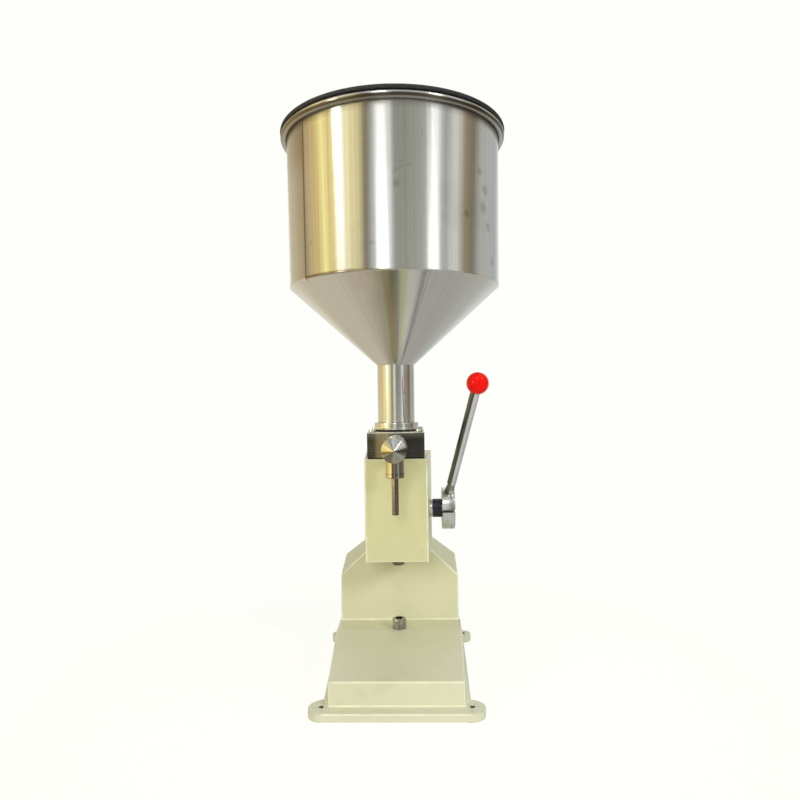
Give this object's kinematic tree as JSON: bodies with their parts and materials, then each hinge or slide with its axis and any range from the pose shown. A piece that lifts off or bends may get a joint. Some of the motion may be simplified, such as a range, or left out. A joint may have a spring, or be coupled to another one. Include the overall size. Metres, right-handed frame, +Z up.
{
  "type": "manual paste filling machine",
  "caption": "Bench paste filler: steel hopper with lid on a valve block, cream gear housing and cast base, side lever driving a rack rod and piston, nozzle in front.",
  "frame": {"origin": "On the bench, straight below the common axis of the hopper, the cylinder, the piston rod and the stop screw.", "axes": "+Z up. The operator stands on the -Y side, where the nozzle and the low front foot are. +X is the operator's right, the lever side."},
  "size_m": [0.3066, 0.3069, 0.7791],
  "materials": {
    "cream_paint": "semi-gloss cream enamel over a filled casting",
    "hopper_steel": "stainless sheet with a round-and-round brushed grain",
    "steel": "turned stainless steel",
    "satin_steel": "fine turned stainless steel with round tool marks",
    "block_steel": "ground stainless steel that mirrors dark surroundings",
    "chrome_steel": "polished bright",
    "dark_steel": "darkened steel",
    "bronze": "machined bearing bronze",
    "black_rubber": "matte sealing rubber",
    "black_plastic": "moulded black knob",
    "navy_plastic": "dark blue-black collar",
    "red_plastic": "glossy red ball"
  },
  "bodies": {
    "frame": {"base_casting": "cream_paint", "gear_housing": "cream_paint", "housing_rear_cover": "cream_paint", "cover_screw_1": "steel", "cover_screw_2": "steel", "cover_screw_3": "steel", "cover_screw_4": "steel", "housing_bolt_1": "steel", "housing_bolt_2": "steel", "housing_bolt_3": "steel", "housing_bolt_4": "steel", "guide_set_screw": "dark_steel", "valve_block": "block_steel", "block_bolt_1": "dark_steel", "block_bolt_2": "dark_steel", "block_bolt_3": "dark_steel", "block_bolt_4": "dark_steel", "hopper": "hopper_steel", "hopper_cone": "hopper_steel", "hopper_neck": "hopper_steel", "hopper_collar": "steel", "hopper_gasket": "black_rubber", "cylinder": "steel", "rod_guide_bush": "bronze", "shaft_bush_right": "steel", "shaft_bush_left": "bronze", "inlet_guide": "steel", "inlet_spring": "steel", "outlet_body": "chrome_steel", "outlet_gasket": "black_rubber", "outlet_spring": "steel", "outlet_cap": "satin_steel", "nozzle_body": "chrome_steel", "nozzle_nut": "steel", "nozzle_tube": "chrome_steel"},
    "lever": {"drive_shaft": "chrome_steel", "pinion": "dark_steel", "pinion_key": "dark_steel", "shaft_circlip": "dark_steel", "shaft_collar": "navy_plastic", "lever_hub": "satin_steel", "hub_clamp_screw": "dark_steel", "lever_rod": "chrome_steel", "lever_ball": "red_plastic"},
    "piston_assembly": {"piston_rod": "chrome_steel", "piston": "steel", "piston_ring_1": "black_rubber", "piston_ring_2": "black_rubber"},
    "inlet": {"inlet_valve": "steel", "inlet_spring_nut": "steel"},
    "outlet": {"outlet_valve": "steel"},
    "stop": {"stop_screw": "steel"},
    "lid_assembly": {"lid": "hopper_steel", "lid_edging": "black_rubber", "lid_knob": "black_plastic", "lid_screw": "steel"}
  },
  "joints": [
    {"name": "lever_swing", "type": "hinge", "parent": "frame", "child": "lever", "pos_m": [0, -0.021, 0.225], "axis": [1, 0, 0], "range_deg": [-90, 58]},
    {"name": "piston_slide", "type": "slide", "parent": "frame", "child": "piston_assembly", "axis": [0, 0, 1], "range_m": [-0.0252, 0.0163]},
    {"name": "inlet_valve_slide", "type": "slide", "parent": "frame", "child": "inlet", "axis": [0, 0, -1], "range_m": [0, 0.005], "stiffness_N_per_m": 150, "springref_m": -0.012, "deforming": ["inlet_spring"]},
    {"name": "outlet_valve_slide", "type": "slide", "parent": "frame", "child": "outlet", "axis": [0, -1, 0], "range_m": [0, 0.004], "stiffness_N_per_m": 200, "springref_m": -0.01, "deforming": ["outlet_spring"]},
    {"name": "stop_screw_travel", "type": "slide", "parent": "frame", "child": "stop", "axis": [0, 0, 1], "range_m": [0, 0.044]},
    {"name": "lid_lift", "type": "slide", "parent": "frame", "child": "lid_assembly", "axis": [0, 0, 1], "range_m": [0, 0.15]}
  ],
  "couplings": [
    {"joint": "piston_slide", "follows": "lever_swing", "m_per_rad": 0.016}
  ]
}
